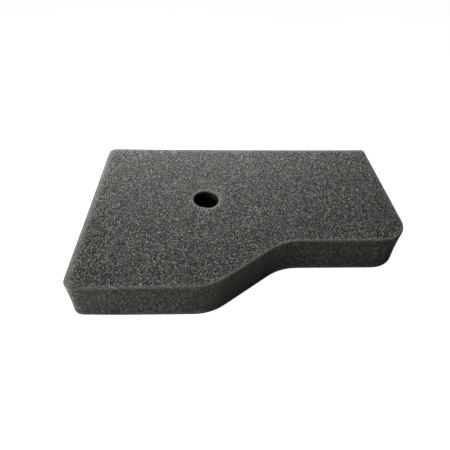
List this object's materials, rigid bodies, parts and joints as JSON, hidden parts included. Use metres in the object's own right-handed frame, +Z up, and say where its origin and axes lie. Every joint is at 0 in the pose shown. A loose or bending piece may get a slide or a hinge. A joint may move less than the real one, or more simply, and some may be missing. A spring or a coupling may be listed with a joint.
{
  "type": "foam air filter element",
  "caption": "Flat die-cut pad of charcoal open-cell foam for a small engine's air box, with a stepped front edge and a round hole through it.",
  "frame": {"origin": "middle of the element's box, on the underside that it lies on", "axes": "+Z up out of the top face, +X along the length towards the shallow end, +Y towards the long straight back edge"},
  "size_m": [0.12, 0.08, 0.015],
  "materials": {
    "foam": "matt charcoal open-cell polyurethane foam"
  },
  "bodies": {
    "root": {"foam_element": "foam"}
  },
  "joints": []
}
